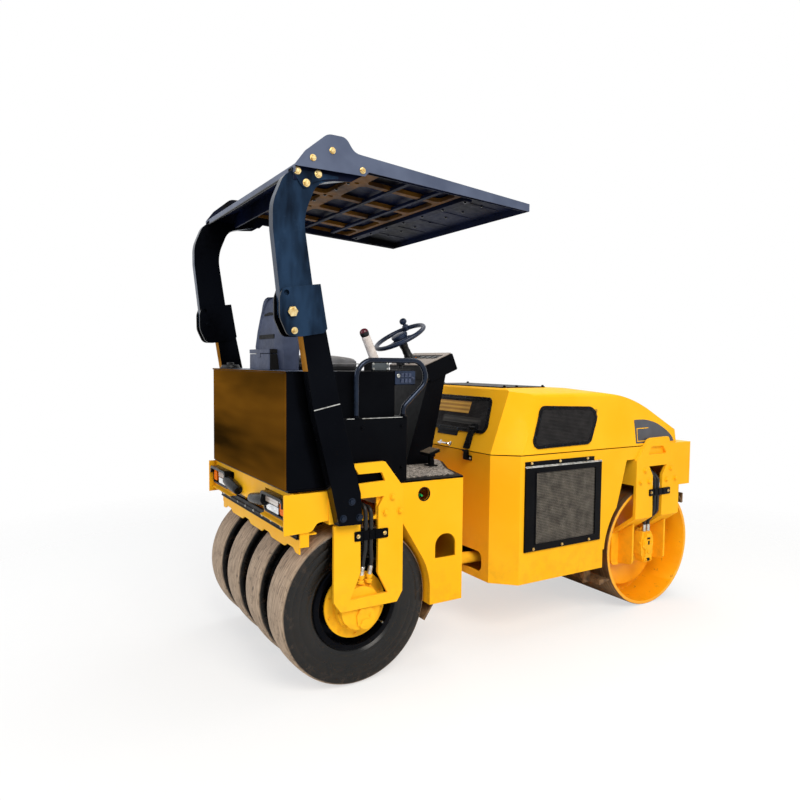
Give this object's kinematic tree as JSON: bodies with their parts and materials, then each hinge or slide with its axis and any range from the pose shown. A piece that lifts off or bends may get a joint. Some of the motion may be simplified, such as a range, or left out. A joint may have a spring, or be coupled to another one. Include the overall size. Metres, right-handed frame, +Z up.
{
  "type": "combination roller",
  "caption": "Compact articulated roller with a smooth front drum, rear rubber tyres, an open operator's platform and a folding canopy.",
  "frame": {"origin": "on the ground, midway between the rearmost point of the canopy arms and the front of the drum, in the middle of the width", "axes": "+X forwards to the drum, +Y to the operator's left, +Z up"},
  "size_m": [3.096, 1.45, 2.6219],
  "materials": {
    "paint_yellow": "gloss",
    "paint_black": "gloss",
    "paint_black_matt": "matt",
    "tyre_rubber": "matt",
    "drum_steel": "worn",
    "mat_rubber": "speckled matt",
    "seat_vinyl": "satin",
    "trim_plastic": "grained",
    "lamp_lens": "gloss",
    "bright_steel": "polished",
    "engine_block": "matt",
    "scraper_steel": "worn",
    "mesh_black": "matt",
    "hose_rubber": "satin",
    "lever_white": "gloss"
  },
  "bodies": {
    "rear_frame": {"rear_frame": "paint_yellow", "side_panels": "paint_yellow", "rear_forks": "paint_yellow", "rear_hoses": "hose_rubber", "wheel_motors": "paint_yellow", "rear_bumper": "paint_yellow", "tail_lamps": "lamp_lens", "rear_scraper": "paint_yellow", "front_scraper": "scraper_steel", "floor_plate": "paint_black_matt", "floor_mat": "mat_rubber", "rear_tank": "paint_black", "seat_box": "paint_black_matt", "seat_cushion": "seat_vinyl", "seat_back": "seat_vinyl", "dash": "paint_black_matt", "steering_column": "trim_plastic", "handrails": "paint_black", "drive_lever": "lever_white", "brake_pedal": "trim_plastic", "rops_legs": "paint_black"},
    "right_wheels": {"right_outer_tyre": "tyre_rubber", "right_inner_tyre": "tyre_rubber", "right_rims": "paint_black"},
    "left_wheels": {"left_outer_tyre": "tyre_rubber", "left_inner_tyre": "tyre_rubber", "left_rims": "paint_black"},
    "canopy": {"canopy_arms": "paint_black", "canopy_roof": "paint_black"},
    "steering_wheel": {"steering_wheel": "trim_plastic"},
    "front_frame": {"front_frame": "paint_yellow", "engine_block": "engine_block", "side_grilles": "mesh_black", "front_forks": "paint_yellow", "drum_brackets": "paint_yellow", "drum_motors": "paint_yellow", "front_hoses": "hose_rubber", "front_beam": "paint_yellow", "drum_scrapers": "scraper_steel"},
    "drum": {"drum_shell": "drum_steel"},
    "hood": {"hood": "paint_yellow", "hood_screens": "mesh_black", "hood_top_plate": "paint_black_matt"},
    "cylinder_barrel": {"cylinder_barrel": "paint_yellow"},
    "cylinder_rod": {"cylinder_rod": "bright_steel"}
  },
  "joints": [
    {"name": "right_wheels_roll", "type": "hinge", "parent": "rear_frame", "child": "right_wheels", "pos_m": [-1.073, -0.324, 0.403], "axis": [0, 1, 0], "continuous": true},
    {"name": "left_wheels_roll", "type": "hinge", "parent": "rear_frame", "child": "left_wheels", "pos_m": [-1.073, 0.324, 0.403], "axis": [0, 1, 0], "continuous": true},
    {"name": "articulation", "type": "hinge", "parent": "rear_frame", "child": "front_frame", "pos_m": [-0.303, 0, 0.755], "axis": [0, 0, 1], "range_deg": [-30, 30]},
    {"name": "drum_roll", "type": "hinge", "parent": "front_frame", "child": "drum", "pos_m": [1.147, 0, 0.401], "axis": [0, 1, 0], "continuous": true},
    {"name": "hood_hinge", "type": "hinge", "parent": "front_frame", "child": "hood", "pos_m": [1.45, 0, 1.108], "axis": [0, 1, 0], "range_deg": [0, 55]},
    {"name": "canopy_fold", "type": "hinge", "parent": "rear_frame", "child": "canopy", "pos_m": [-1.467, 0, 1.83], "axis": [0, -1, 0], "range_deg": [0, 110]},
    {"name": "steering_wheel_turn", "type": "hinge", "parent": "rear_frame", "child": "steering_wheel", "pos_m": [-0.482, 0, 1.766], "axis": [-0.4848, 0, 0.8746], "continuous": true},
    {"name": "cylinder_swing", "type": "hinge", "parent": "front_frame", "child": "cylinder_barrel", "pos_m": [0.157, -0.3, 0.43], "axis": [0, 0, 1], "range_deg": [-8.5, 8.5]},
    {"name": "cylinder_stroke", "type": "slide", "parent": "cylinder_barrel", "child": "cylinder_rod", "axis": [-0.9959, 0.0905, 0], "range_m": [-0.14, 0.14]}
  ],
  "couplings": [
    {"joint": "cylinder_swing", "follows": "articulation", "ratio": -0.268},
    {"joint": "cylinder_stroke", "follows": "articulation", "m_per_rad": 0.255}
  ]
}
